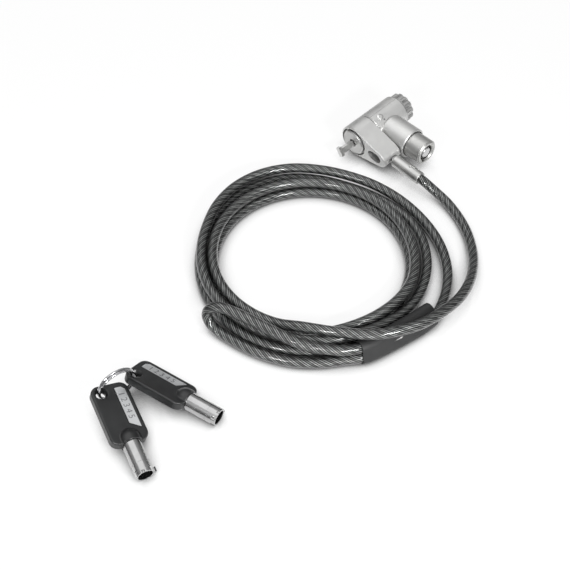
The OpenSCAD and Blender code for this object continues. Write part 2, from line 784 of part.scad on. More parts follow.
module key_shaft() {
    difference() {
        union() {
            translate([tube_x0, 0, 0])
                rotate([0, 90, 0])
                    cylinder(h = key_len - tube_x0, d = key_tube_d, $fn = 48);
            // nib that fits the notch of the keyway
            translate([key_len - 2.6, key_tube_d / 2 - 0.5, -0.9])
                cube([2.4, 1.6, 1.8]);
        }
        translate([tube_x0 + 1.4, 0, 0])
            rotate([0, 90, 0])
                cylinder(h = key_len, d = key_bore_d, $fn = 48);
        // shallow groove around the tube
        rotate([0, 90, 0])
            rotate_extrude($fn = 48)
                translate([key_tube_d / 2 - 0.12, key_len - 5.6])
                    square([1, 0.5]);
        // cuts at the tip, one for each pin
        for (i = [0:6])
            rotate([i * pin_pitch + 25, 0, 0])
                translate([key_len - 1.2 - 0.5 * ((i * 3) % 4), 0, key_tube_d / 2 + 0.25])
                    rotate([0, 90, 0])
                        cylinder(h = 6, d = 1.5, $fn = 20);
    }
}

module key_plate() {
    translate([0, 0, bow_t / 2 - 0.5])
        linear_extrude(height = 0.4)
            plate_outline(0);
}

module key_1_bow() color("#303236") key_place(key_1_at, key_1_turn) key_bow();
module key_1_shaft() color("gainsboro") key_place(key_1_at, key_1_turn) key_shaft();
module key_1_plate() color("silver") key_place(key_1_at, key_1_turn) key_plate();
module key_2_bow() color("#303236") key_place(key_2_at, key_2_turn) key_bow();
module key_2_shaft() color("gainsboro") key_place(key_2_at, key_2_turn) key_shaft();
module key_2_plate() color("silver") key_place(key_2_at, key_2_turn) key_plate();

module key_ring() color("gainsboro") translate(ring_at) rotate(ring_turn) {
    for (s = [-1, 1])
        translate([0, 0, s * (ring_wire / 2 - 0.04)])
            rotate_extrude($fn = 64)
                translate([ring_r, 0])
                    circle(d = ring_wire, $fn = 16);
}

// Least gap of the cable's coil to itself, on the points of its centre line
function near(i) = min([
    for (j = [i + 12:1:coil_count]) norm(coil_path[i] - coil_path[j])
]);
coil_gap = min([for (i = [0:coil_count - 12]) near(i)]) - cable_d;
echo(coil_gap = coil_gap);

swivel_collar();
nose_plate();
lock_body();
back_cover();
body_rivet();
dowel_pin();
stop_pin();
plunger_spring();
knob_washer();
t_bar();
knob();
knob_screw();
plunger_shell();
driver_block();
locking_bolt();
pin_springs();
plug();
keyway_post();
key_pins();
driver_pins();
ferrule();
swivel_pin();
cable_lead();
cable_coil();
cable_eye();
eye_crimp();
sleeve();
key_ring();
key_1_bow();
key_1_shaft();
key_1_plate();
key_2_bow();
key_2_shaft();
key_2_plate();
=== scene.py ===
# Laptop cable lock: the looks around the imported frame, in the CAD's own frame.
# The scene is in metres; sizes and places below are millimetres, turns are degrees.
import json
import math

import bpy
from mathutils import Matrix, Vector


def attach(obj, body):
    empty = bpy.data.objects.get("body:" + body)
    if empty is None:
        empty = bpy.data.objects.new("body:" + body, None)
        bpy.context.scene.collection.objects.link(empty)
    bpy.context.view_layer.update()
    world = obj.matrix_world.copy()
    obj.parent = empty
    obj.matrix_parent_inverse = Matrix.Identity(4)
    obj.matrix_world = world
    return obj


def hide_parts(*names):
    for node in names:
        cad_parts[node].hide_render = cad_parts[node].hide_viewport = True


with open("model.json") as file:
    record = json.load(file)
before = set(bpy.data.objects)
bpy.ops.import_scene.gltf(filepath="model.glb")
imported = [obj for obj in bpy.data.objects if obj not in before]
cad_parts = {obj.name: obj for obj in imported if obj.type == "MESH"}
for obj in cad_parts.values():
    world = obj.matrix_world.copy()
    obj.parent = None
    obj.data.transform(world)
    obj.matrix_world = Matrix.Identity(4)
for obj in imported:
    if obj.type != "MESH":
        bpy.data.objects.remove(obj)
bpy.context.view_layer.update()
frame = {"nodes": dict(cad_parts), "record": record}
NODES = frame["nodes"]
MM = 0.001
FLOOR = -10.0


def add_object(name, data):
    """A new object, linked into the scene."""
    obj = bpy.data.objects.new(name, data)
    bpy.context.scene.collection.objects.link(obj)
    return obj


# ---- camera ----

CAMERA_AT = (-297.0, -270.0, 345.0)
CAMERA_TURN = (40, 0, -42)
SENSOR = 36.0
FOCAL_PIXELS = 880.0
IMAGE_PIXELS = 570.0
CLIP_START = 10


def make_camera():
    """The photo's camera; its focal length was solved in pixels."""
    cam = add_object("camera", bpy.data.cameras.new("camera"))
    cam.location = Vector(CAMERA_AT) * MM
    cam.rotation_euler = [math.radians(a) for a in CAMERA_TURN]
    cam.data.sensor_width = SENSOR
    cam.data.lens = FOCAL_PIXELS / IMAGE_PIXELS * SENSOR
    cam.data.clip_start = CLIP_START * MM
    bpy.context.scene.camera = cam


make_camera()

# ---- the cable's route, as in the CAD's source ----

CABLE_D = 5.5
COLLAR_DIP = 3
HEAD_TILT = 6
PIN_X = 8.0
FERRULE_END = 46.8
CRIMP_WALL = 0.6
CRIMP_GAP = 0.05
SLEEVE_WALL = 0.5
STRAND_GAP = 0.1
STRAND_OFF = CABLE_D / 2 + STRAND_GAP  # from the sleeve's centre line to each strand's
CURVE_STEPS = 2  # points for each listed one
DENSE_STEPS = 16  # points for each one of the CAD's curve
ROUTE_STEP = 1.2


def up(x, y, h):
    """A point at a height above the floor."""
    return Vector((x, y, FLOOR + h))


def on_collar(p):
    """A point on the ferrule's centre line, at a distance along the collar's long axis."""
    dip, tilt = math.radians(COLLAR_DIP), math.radians(HEAD_TILT)
    y, z = -p * math.cos(dip), -p * math.sin(dip)
    return Vector((PIN_X * math.cos(tilt) - z * math.sin(tilt), y,
                   PIN_X * math.sin(tilt) + z * math.cos(tilt)))


LEAD_ROUTE = [
    on_collar(FERRULE_END - 13), on_collar(FERRULE_END - 6), on_collar(FERRULE_END),
    on_collar(FERRULE_END + 3),
    up(9.7, -58, 4.9), up(9.2, -67, 3.6), up(6.4, -77, 2.9), up(2, -86.5, 2.8), up(-4, -95.5, 2.8),
    up(-12.5, -104.5, 3.4), up(-23, -112, 5.4), up(-33.5, -117.2, 8), up(-44.4, -120.6, 10.6),
    up(-55.8, -121.8, 12.8), up(-64.6, -121.8, 14.4), up(-74.4, -120.6, 15.4),
    up(-84.4, -117, 15.9), up(-92.8, -112.4, 15.9), up(-98.6, -107.4, 15.6),
]

# The coil: angle around its centre, radius and height above the floor
COIL_CENTRE = (-77.0, -46.5)
COIL_TURN = 120
COIL_STEP = 15
COIL_KNOTS = [
    (3, 58.2, 15.1), (10, 55.8, 14.8), (17, 53.6, 13.4), (24, 52.2, 11.4), (30, 51.6, 10),
    (38, 51.1, 8.9), (50, 51.2, 8.7), (78, 51.8, 8.7), (93, 52.2, 8.7), (105, 52.5, 8.7),
    (120, 53.1, 8.7), (150, 53.8, 8.7), (170, 53.8, 8.7), (188, 53.6, 8.7), (206, 53.4, 8.7),
    (224, 53.4, 8.7), (240, 53.6, 8.7), (275, 54, 8.7), (300, 55.1, 8.7), (312, 54.6, 8.7),
    (325, 53.6, 8.7), (340, 52.9, 8.6), (356, 52.4, 8), (366, 52.2, 6.4), (376, 52.1, 4.6),
    (386, 52, 3.3), (398, 52, 2.9), (414, 52.2, 2.8), (430, 52.3, 2.8), (465, 52, 2.8),
    (500, 52.2, 2.8), (546, 52.2, 2.8), (600, 52.4, 2.8), (640, 52.8, 2.8), (682, 53.7, 2.8),
    (712, 57.9, 2.8), (740, 60.6, 2.8), (780, 60.4, 2.8), (820, 59.6, 2.8), (850, 61.2, 2.8),
    (866, 63.4, 2.8), (880, 64.9, 2.8), (896, 65, 2.8), (910, 63.8, 2.8), (924, 61.4, 2.8),
    (940, 60.2, 2.8), (962, 61.3, 2.8), (978, 62.7, 2.8), (996, 62.2, 2.8), (1018, 61, 2.9),
    (1032, 60.1, 3.6), (1044, 59.5, 5.7), (1054, 59, 7.6), (1064, 58.7, 8.7), (1076, 58.4, 9),
    (1110, 57.7, 8.8), (1150, 58, 8.8), (1170, 58.2, 8.8), (1186, 58.6, 8.8), (1200, 59.6, 8.8),
    (1216, 62.6, 8.8), (1228, 64.8, 8.8), (1240, 66.4, 8.8), (1256, 66.8, 8.7), (1270, 65.8, 8.5),
    (1284, 64.6, 7.8), (1300, 65.2, 6.6), (1316, 66.8, 5), (1330, 68.4, 3.5), (1344, 70, 2.8),
    (1358, 71.6, 2.8), (1370, 72.6, 2.8), (1382, 73.2, 2.8),
]

SLEEVE_LINE = [
    up(-58.5, -115.6, 5.5), up(-68, -115.2, 5.6), up(-78, -113.9, 5.8), up(-88, -112.4, 6),
    up(-96, -111, 6.2), up(-103, -109, 6.4),
]
SLEEVE_LEAN = [56, 58, 62, 67, 71, 74]

EYE_ROUTE = [
    up(-109.5, -105.2, 2.9), up(-119.7, -98.3, 2.9), up(-129.9, -88, 2.9), up(-137.4, -75.3, 2.9),
    up(-141.5, -63.4, 2.9), up(-143.9, -52.6, 2.9), up(-144.8, -47.6, 3.8), up(-145, -44.2, 6),
    up(-144.5, -42.4, 9), up(-143, -42.6, 12), up(-140.8, -45.4, 14.4), up(-137.9, -50.6, 15.1),
    up(-134, -61.5, 15), up(-131.3, -71.1, 15), up(-129, -79, 15), up(-125, -89, 14.2),
    up(-118.4, -96.6, 11.6), up(-110, -104.2, 9.8),
]


def hermite(t, p1, m1, p2, m2):
    """A cubic from p1 to p2 with the slopes m1 and m2 at its ends."""
    return ((2 * t**3 - 3 * t**2 + 1) * p1 + (t**3 - 2 * t**2 + t) * m1
            + (3 * t**2 - 2 * t**3) * p2 + (t**3 - t**2) * m2)


def coil_value(angle, column):
    """The coil's radius or height at an angle, smooth through its knots."""
    last = len(COIL_KNOTS) - 1
    i = 0
    while i < last - 1 and angle >= COIL_KNOTS[i + 1][0]:
        i += 1

    def rise(k):
        p, q = COIL_KNOTS[max(k - 1, 0)], COIL_KNOTS[min(k + 1, last)]
        return (q[column] - p[column]) / (q[0] - p[0])

    k0, k1 = COIL_KNOTS[i], COIL_KNOTS[i + 1]
    h = k1[0] - k0[0]
    return hermite((angle - k0[0]) / h, k0[column], h * rise(i), k1[column], h * rise(i + 1))


def coil_point(angle):
    """A point of the coil, which runs clockwise seen from above."""
    t = math.radians(-(angle + COIL_TURN))
    r = coil_value(angle, 1)
    return up(COIL_CENTRE[0] + r * math.cos(t), COIL_CENTRE[1] + r * math.sin(t),
              coil_value(angle, 2))


def line_tangent(points, i):
    """The line's direction at one of its points."""
    return (points[min(i + 1, len(points) - 1)] - points[max(i - 1, 0)]).normalized()


def lean_way(points, leans, i):
    """The way from the lower strand to the upper one, across the sleeve."""
    t = line_tangent(points, i)
    side = Vector((0, 0, 1)).cross(t).normalized()
    lean = math.radians(leans[i])
    return -math.cos(lean) * side + math.sin(lean) * t.cross(side)


def run_along(points):
    """The length of the line up to each of its points."""
    run = [0.0]
    for a, b in zip(points, points[1:]):
        run.append(run[-1] + (b - a).length)
    return run


def smooth_line(points, step):
    """Points at an even step along a smooth curve through the given points."""
    dense = []
    last = len(points) - 2
    for i in range(last + 1):
        p1, p2 = points[i], points[i + 1]
        m1 = m2 = p2 - p1
        d1 = (p2 - p1).length ** 0.5
        if i > 0:
            p0 = points[i - 1]
            d0 = (p1 - p0).length ** 0.5
            m1 = m1 + d1 * ((p1 - p0) / d0 - (p2 - p0) / (d0 + d1))
        if i < last:
            p3 = points[i + 2]
            d2 = (p3 - p2).length ** 0.5
            m2 = m2 + d1 * ((p3 - p2) / d2 - (p3 - p1) / (d1 + d2))
        dense += [hermite(s / DENSE_STEPS, p1, m1, p2, m2) for s in range(DENSE_STEPS)]
    dense.append(points[-1])
    run = run_along(dense)
    count = round(run[-1] / step)
    even, k = [], 0
    for i in range(count + 1):
        s = run[-1] * i / count
        while k < len(run) - 2 and run[k + 1] < s:
            k += 1
        even.append(dense[k].lerp(dense[k + 1], (s - run[k]) / (run[k + 1] - run[k])))
    return even


def catmull(points):
    """The CAD's own curve through listed points."""
    out = []
    for i in range(len(points) - 1):
        a, b = points[max(i - 1, 0)], points[i]
        c, d = points[i + 1], points[min(i + 2, len(points) - 1)]
        for s in range(CURVE_STEPS):
            t = s / CURVE_STEPS
            out.append(0.5 * (2 * b + (c - a) * t + (2 * a - 5 * b + 4 * c - d) * t * t
                              + (3 * b - a - 3 * c + d) * t**3))
    return out + [points[-1]]


def cable_route():
    """The centre line: lead, coil, lower strand in the sleeve, eye and upper strand."""
    first, last = COIL_KNOTS[0][0], COIL_KNOTS[-1][0]
    count = round((last - first) / COIL_STEP)
    coil = [coil_point(first + (last - first) * i / count) for i in range(count + 1)]
    ways = [lean_way(SLEEVE_LINE, SLEEVE_LEAN, i) for i in range(len(SLEEVE_LINE))]
    lower = [p - STRAND_OFF * w for p, w in zip(SLEEVE_LINE, ways)]
    upper = [p + STRAND_OFF * w for p, w in zip(SLEEVE_LINE, ways)]
    return catmull(LEAD_ROUTE) + coil + lower + catmull(EYE_ROUTE) + upper[:0:-1]


# ---- meshes ----

CABLE_SIDES = 20
CM = 10.0


def mesh_object(name, verts, faces):
    """A smooth-shaded piece."""
    mesh = bpy.data.meshes.new(name)
    mesh.from_pydata([v * MM for v in verts], [], faces)
    mesh.update()
    mesh.polygons.foreach_set("use_smooth", [True] * len(mesh.polygons))
    return add_object(name, mesh)


def ring_faces(rings, n, closed=False):
    """Quads between neighbouring rings of n vertices; closed joins the last to the first."""
    faces = []
    for i in range(rings if closed else rings - 1):
        j = (i + 1) % rings
        for k in range(n):
            m = (k + 1) % n
            faces.append((i * n + k, i * n + m, j * n + m, j * n + k))
    return faces


def capped_faces(rings, n):
    """Quads between the rings and a face over each end."""
    ends = [tuple(reversed(range(n))), tuple(range((rings - 1) * n, rings * n))]
    return ring_faces(rings, n) + ends


def transport(points):
    """A side vector at each point, carried along without twist."""
    sides = []
    u = Vector((0.02, 0.03, 1))  # off upright, so it is never in line with the wire
    for i in range(len(points)):
        t = line_tangent(points, i)
        u = (u - u.dot(t) * t).normalized()
        sides.append(u.copy())
    return sides


def tube_mesh(name, points, radius, sides):
    """A round tube. Its UV runs in centimetres along it and in turns around it."""
    verts = []
    for i, u in enumerate(transport(points)):
        v = line_tangent(points, i).cross(u)
        for k in range(sides):
            a = 2 * math.pi * k / sides
            verts.append(points[i] + radius * (math.cos(a) * u + math.sin(a) * v))
    obj = mesh_object(name, verts, capped_faces(len(points), sides))
    run = run_along(points)
    uv = obj.data.uv_layers.new(name="run")
    quads = (len(points) - 1) * sides
    for poly in obj.data.polygons:
        seam = poly.index < quads and poly.index % sides == sides - 1
        for loop in poly.loop_indices:
            ring, k = divmod(obj.data.loops[loop].vertex_index, sides)
            turn = 1.0 if seam and k == 0 else k / sides
            uv.data[loop].uv = (run[ring] / CM, turn)
    return obj


ROUTE = smooth_line(cable_route(), ROUTE_STEP)
cable = tube_mesh("cable", ROUTE, CABLE_D / 2, CABLE_SIDES)
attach(cable, "cable")
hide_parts("cable_lead", "cable_coil", "cable_eye")

# ---- sleeve ----

SLEEVE_STEP = 1.0
SLEEVE_INNER = CABLE_D / 2 + CRIMP_WALL + CRIMP_GAP
SLEEVE_PLAY = 0.02
OUTER_WAIST, INNER_WAIST = 0.5, 0.4
GRIP, GRIP_REACH = 0.34, 2.5  # how far each end is drawn in, and over how many steps
ARC_STEPS = 12
SLEEVE_EDGE = 0.12


def sleeve_profile(r, waist):
    """Outline around two strands, drawn in a little between them."""
    out = []
    for side in (1, -1):
        for k in range(ARC_STEPS + 1):
            a = math.radians(-90 + 180 * k / ARC_STEPS)
            out.append((side * (STRAND_OFF + r * math.cos(a)), side * r * math.sin(a)))
        out.append((0.0, side * (r - waist)))
    return out


def make_sleeve():
    """Shrunk sleeve: a thin shell that grips both strands at its ends, a little uneven outside."""
    line = smooth_line(SLEEVE_LINE, SLEEVE_STEP)
    last = len(line) - 1
    coarse = run_along(SLEEVE_LINE)

    def lean_at(s):
        k = 0
        while k < len(coarse) - 2 and coarse[k + 1] < s:
            k += 1
        f = min(max((s - coarse[k]) / (coarse[k + 1] - coarse[k]), 0), 1)
        return SLEEVE_LEAN[k] + f * (SLEEVE_LEAN[k + 1] - SLEEVE_LEAN[k])

    leans = [lean_at(coarse[-1] * i / last) for i in range(last + 1)]

    def ring(i, r, waist):
        w = lean_way(line, leans, i)
        v = line_tangent(line, i).cross(w)
        grip = GRIP * math.exp(-min(i, last - i) / GRIP_REACH)
        return [line[i] + q[0] * w + q[1] * v for q in sleeve_profile(r - grip, waist)]

    rings = []
    for i in range(last + 1):
        ripple = 0.05 * math.sin(i * 1.7) + 0.04 * math.sin(i * 0.61 + 1)
        outer = SLEEVE_INNER + SLEEVE_WALL + min(ripple, 0) * 0.8
        rings.append(ring(i, outer, OUTER_WAIST + ripple))
    for i in range(last, -1, -1):
        rings.append(ring(i, SLEEVE_INNER + SLEEVE_PLAY, INNER_WAIST))
    obj = mesh_object("sleeve_shrunk", [v for r in rings for v in r],
                      ring_faces(len(rings), len(rings[0]), closed=True))
    bevel = obj.modifiers.new("edge", "BEVEL")
    bevel.width = SLEEVE_EDGE * MM
    bevel.segments = 2
    bevel.limit_method = "ANGLE"
    bevel.angle_limit = math.radians(40)
    return obj


sleeve = make_sleeve()
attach(sleeve, "cable")
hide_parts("sleeve")

# ---- keys and ring ----

KEYS = {
    "key_1": ((-206.5, -44.4, -1), (-18.6, 5.4, -104.8)),
    "key_2": ((-191, -43.8, -2.3), (-27.1, 3.9, -72.4)),
}
BOW_LEN, BOW_W, BOW_T, BOW_CORNER = 32.5, 18.4, 4.5, 4.2
BOW_SOFT = 0.75
SOFT_ANGLES = (22, 45, 68, 90)
CORNER_STEPS = 8
TUBE_D = 8.7
BOSS_R = TUBE_D / 2 + 0.85
BOSS_BACK = 2.4  # from the bow's end to where the dome starts
BOSS_EDGE = 0.35
DOME_STEPS, DOME_TIP = 8, 0.05
SOCKET_DEPTH = 4.2
HOLE_AT = (4.4, -4.4)
HOLE_R, HOLE_FLAT, HOLE_MOUTH_R = 2.2, 0.7, 3.15
HOLE_REACH, HOLE_FLARE = 4, 1.9  # the hole's cutter past the faces
SOCKET_REACH, PLATE_REACH = 3, 1  # the other cutters past theirs
SHY = 0.02  # keeps two faces from coinciding
TURN_SIDES, HOLE_SIDES = 48, 32
VOXEL = 0.24
# The recess for the number plate, and its depth
PLATE_LOW, PLATE_HIGH = BOW_W / 2 - 6.9, BOW_W / 2 - 2.0
PLATE_OUTLINE = [
    (BOW_LEN - 9.7, PLATE_LOW), (BOW_LEN - 6.3, PLATE_HIGH), (4.5, PLATE_HIGH),
    (2.9, PLATE_HIGH - 1.6), (2.9, PLATE_LOW),
]
PLATE_DEPTH = 0.5


def placed(at, turn):
    """The matrix that turns about X, Y and Z in that order and then moves."""
    x, y, z = (math.radians(a) for a in turn)
    return Matrix.Translation(Vector(at) * MM) @ (
        Matrix.Rotation(z, 4, "Z") @ Matrix.Rotation(y, 4, "Y") @ Matrix.Rotation(x, 4, "X"))


def rounded_outline(inset):
    """The bow's outline, drawn in by an inset."""
    r = BOW_CORNER - inset
    near, far, side = BOW_CORNER, BOW_LEN - BOW_CORNER, BOW_W / 2 - BOW_CORNER
    out = []
    for x, y, start in ((far, side, 0), (near, side, 90), (near, -side, 180), (far, -side, 270)):
        for k in range(CORNER_STEPS + 1):
            a = math.radians(start + 90 * k / CORNER_STEPS)
            out.append((x + r * math.cos(a), y + r * math.sin(a)))
    return out


def stacked(levels):
    """Closed solid from outlines at rising heights."""
    verts = [Vector((x, y, z)) for z, outline in levels for x, y in outline]
    return verts, capped_faces(len(levels), len(levels[0][1]))


def turned(profile, segments):
    """Closed solid turned around local X from (x, radius) pairs, both ends on the axis."""
    inner = profile[1:-1]
    verts = []
    for x, r in inner:
        for k in range(segments):
            a = 2 * math.pi * k / segments
            verts.append(Vector((x, r * math.cos(a), r * math.sin(a))))
    faces = ring_faces(len(inner), segments)
    first, last = len(verts), len(verts) + 1
    verts += [Vector((profile[0][0], 0, 0)), Vector((profile[-1][0], 0, 0))]
    top = (len(inner) - 1) * segments
    for k in range(segments):
        m = (k + 1) % segments
        faces += [(first, m, k), (last, top + k, top + m)]
    return verts, faces


def bake(obj):
    """Applies all of the piece's modifiers to its mesh."""
    bpy.context.view_layer.update()
    graph = bpy.context.evaluated_depsgraph_get()
    mesh = bpy.data.meshes.new_from_object(obj.evaluated_get(graph))
    old = obj.data
    obj.modifiers.clear()
    obj.data = mesh
    bpy.data.meshes.remove(old)


def cut(obj, name, solid, operation="DIFFERENCE"):
    """Cuts a solid of vertices and faces from the piece, or joins it on."""
    cutter = mesh_object(name, *solid)
    mod = obj.modifiers.new("cut", "BOOLEAN")
    mod.operation = operation
    mod.solver = "EXACT"
    mod.object = cutter
    bake(obj)
    bpy.data.objects.remove(cutter)


def make_bow(name):
    """Moulded bow: a soft slab with a domed boss, a flared ring hole, socket and plate recess."""
    half = BOW_T / 2
    levels = [(-half, rounded_outline(BOW_SOFT))]
    for a in map(math.radians, SOFT_ANGLES):
        levels.append((-half + BOW_SOFT * (1 - math.cos(a)),
                       rounded_outline(BOW_SOFT * (1 - math.sin(a)))))
    levels += [(-z, outline) for z, outline in reversed(levels)]
    obj = mesh_object(name, *stacked(levels))

    dome = []
    for k in range(DOME_STEPS, -1, -1):
        a = math.radians(90 * k / DOME_STEPS)
        dome.append((BOW_LEN - BOSS_BACK - BOSS_R * math.sin(a),
                     max(BOSS_R * math.cos(a), DOME_TIP)))
    boss = [(dome[0][0], 0), *dome, (BOW_LEN - BOSS_EDGE, BOSS_R),
            (BOW_LEN - SHY, BOSS_R - BOSS_EDGE), (BOW_LEN - SHY, 0)]
    cut(obj, "boss", turned(boss, TURN_SIDES), "UNION")

    hole = [(HOLE_FLAT, HOLE_R), (half + SHY, HOLE_MOUTH_R),
            (HOLE_REACH, HOLE_R + HOLE_FLARE), (HOLE_REACH, 0)]
    hole = [(-x, r) for x, r in reversed(hole)] + hole
    verts, faces = turned(hole, HOLE_SIDES)
    verts = [Vector((HOLE_AT[0] - v.z, HOLE_AT[1] + v.y, v.x)) for v in verts]
    cut(obj, "hole", (verts, faces))

    bottom, outside, r = BOW_LEN - SOCKET_DEPTH, BOW_LEN + SOCKET_REACH, TUBE_D / 2
    cut(obj, "socket", turned([(bottom, 0), (bottom, r), (outside, r), (outside, 0)], TURN_SIDES))
    cut(obj, "recess", stacked([(half - PLATE_DEPTH, PLATE_OUTLINE),
                                (half + PLATE_REACH, PLATE_OUTLINE)]))

    remesh = obj.modifiers.new("fine", "REMESH")
    remesh.mode = "VOXEL"
    remesh.voxel_size = VOXEL * MM
    remesh.use_smooth_shade = True
    relax = obj.modifiers.new("relax", "SMOOTH")
    relax.factor = 0.5
    relax.iterations = 3
    bake(obj)
    return obj


bow = make_bow("key_1_bow_moulded")
bows = {"key_1": bow, "key_2": add_object("key_2_bow_moulded", bow.data.copy())}
for body, piece in bows.items():
    piece.data.transform(placed(*KEYS[body]))
    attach(piece, body)
    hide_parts(body + "_bow")


DIGITS = "12345"
DIGIT_HEIGHT = 3.1
DIGITS_AT = (13.4, BOW_W / 2 - 4.45)  # the row's middle
DIGIT_SPACING = 1.45
DIGIT_THINNER, DIGIT_RISE, DIGIT_DEPTH = -0.03, 0.012, 0.1
FONT_CAPITAL = 0.7  # height of a capital in Blender's font of size 1


def make_digits(body):
    """Plain digits stamped on the key's plate."""
    curve = bpy.data.curves.new(body + "_digits", "FONT")
    curve.body = DIGITS
    curve.size = DIGIT_HEIGHT / FONT_CAPITAL * MM
    curve.space_character = DIGIT_SPACING
    curve.align_x = "CENTER"
    curve.offset = DIGIT_THINNER * MM
    curve.extrude = DIGIT_RISE * MM
    curve.resolution_u = 3
    letters = add_object(body + "_letters", curve)
    bpy.context.view_layer.update()
    mesh = bpy.data.meshes.new_from_object(letters)
    bpy.data.objects.remove(letters)
    obj = add_object(body + "_digits", mesh)
    foot = Vector((DIGITS_AT[0], DIGITS_AT[1] - DIGIT_HEIGHT / 2, BOW_T / 2 - DIGIT_DEPTH))
    mesh.transform(placed(*KEYS[body]) @ Matrix.Translation(foot * MM))
    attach(obj, body)
    return obj


digits = [make_digits(body) for body in KEYS]

RING_AT = (-202.7, -48.3, 1.2)
RING_TURN = (93, 0, -4.4)
RING_R, RING_WIRE = 9.5, 1.3
RING_START, RING_ARC = 150, 2 * 360 - 6
CRANK_START, CRANK_ARC = 342, 36
RING_STEPS, RING_SIDES = 2 * 64, 16
RING_NEARER, WIRE_THINNER = 0.04, 0.01  # so that the two turns just touch


def make_ring():
    """Split ring: one wire in two flat turns, with a crank between them and two free ends."""
    points = []
    for i in range(RING_STEPS + 1):
        a = RING_ARC * i / RING_STEPS
        crank = min(max((a - CRANK_START) / CRANK_ARC, 0), 1)
        z = (crank * crank * (3 - 2 * crank) - 0.5) * (RING_WIRE - RING_NEARER)
        t = math.radians(a + RING_START)
        points.append(Vector((RING_R * math.cos(t), RING_R * math.sin(t), z)))
    obj = tube_mesh("key_ring_wire", points, RING_WIRE / 2 - WIRE_THINNER, RING_SIDES)
    obj.data.transform(placed(RING_AT, RING_TURN))
    return obj


ring = make_ring()
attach(ring, "ring")
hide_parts("key_ring")

# ---- materials ----


class Tree:
    """Short calls for building the nodes of a material or the world."""

    def __init__(self, owner, shader):
        owner.use_nodes = True
        self.owner = owner
        self.tree = owner.node_tree
        self.shader = self.tree.nodes[shader]

    def add(self, kind, inputs=(), **props):
        """A node; its inputs are values or other nodes' sockets."""
        node = self.tree.nodes.new(kind)
        for key, value in props.items():
            setattr(node, key, value)
        for key, value in dict(inputs).items():
            self.set(node.inputs[key], value)
        return node

    def set(self, socket, value):
        if isinstance(value, bpy.types.NodeSocket):
            self.tree.links.new(value, socket)
        else:
            socket.default_value = value

    def surface(self, **values):
        """Sets the shader's inputs, with _ for a space in their names."""
        for key, value in values.items():
            self.set(self.shader.inputs[key.replace("_", " ")], value)

    def ramp(self, factor, stops):
        """Colour from (position, colour) stops."""
        node = self.add("ShaderNodeValToRGB", {"Fac": factor})
        elements = node.color_ramp.elements
        while len(elements) < len(stops):
            elements.new(0.5)
        for element, (position, color) in zip(elements, stops):
            element.position = position
            element.color = (*color, 1)
        return node.outputs["Color"]

    def remap(self, value, low, high, from_low=0.0, from_high=1.0):
        """The value's range from_low to from_high brought to low to high."""
        ends = {"From Min": from_low, "From Max": from_high, "To Min": low, "To Max": high}
        return self.add("ShaderNodeMapRange", {"Value": value, **ends}).outputs["Result"]

    def noise(self, scale, detail):
        where = self.add("ShaderNodeTexCoord").outputs["Object"]
        values = {"Vector": where, "Scale": scale, "Detail": detail}
        return self.add("ShaderNodeTexNoise", values).outputs["Fac"]

    def math(self, operation, *values):
        node = self.add("ShaderNodeMath", operation=operation)
        for socket, value in zip(node.inputs, values):
            self.set(socket, value)
        return node.outputs[0]

    def bump(self, height, strength, distance):
        values = {"Height": height, "Strength": strength, "Distance": distance}
        return self.add("ShaderNodeBump", values).outputs["Normal"]


def material_tree(name):
    return Tree(bpy.data.materials.new(name), "Principled BSDF")


# Noise scales, per metre, and the heights of the bumps in metres
METAL_DRIFT, METAL_POLISH, METAL_BUMP = 60, 220, 0.00004
PLASTIC_DRIFT, PLASTIC_POLISH, PLASTIC_BUMP = 150, 300, 0.00005
CABLE_WANDER, CABLE_FLECKS, CABLE_BUMP = 90, 420, 0.0003
NOISE_RANGE = (0.3, 0.7)  # what the noise mostly covers


def metal(name, light, dark, roughness, spread, grain, bump):
    """Plated metal: soft colour drift, uneven polish and a fine grain."""
    t = material_tree(name)
    t.surface(
        Base_Color=t.ramp(t.noise(METAL_DRIFT, 4), [(0.3, dark), (0.7, light)]),
        Metallic=1.0,
        Roughness=t.remap(t.noise(METAL_POLISH, 3), roughness - spread, roughness + spread,
                          *NOISE_RANGE),
        Normal=t.bump(t.noise(grain, 3), bump, METAL_BUMP))
    return t.owner


def plastic(name, base, peak, roughness, spread, grain, bump):
    """Moulded or shrunk black plastic with a fine grain."""
    t = material_tree(name)
    t.surface(
        Base_Color=t.ramp(t.noise(PLASTIC_DRIFT, 4), [(0.3, base), (0.75, peak)]),
        Roughness=t.remap(t.noise(PLASTIC_POLISH, 2), roughness - spread, roughness + spread,
                          *NOISE_RANGE),
        Normal=t.bump(t.noise(grain, 3), bump, PLASTIC_BUMP))
    return t.owner


# Lay of the rope: turns around the cable, and turns for each centimetre of its length
WIRES = (15, 5.667)
STRANDS = (5, 1.889)
WIRE_SHARPNESS = 1.25
# Rope colour by relief: the grooves between wires are painted shade, and the wire and strand
# crests are lightened with painted highlight
ROPE_COLORS_WITH_PAINTED_LIGHT = [
    (0.1, (0.002, 0.0021, 0.0021)), (0.5, (0.017, 0.0183, 0.018)), (0.92, (0.24, 0.248, 0.242)),
]


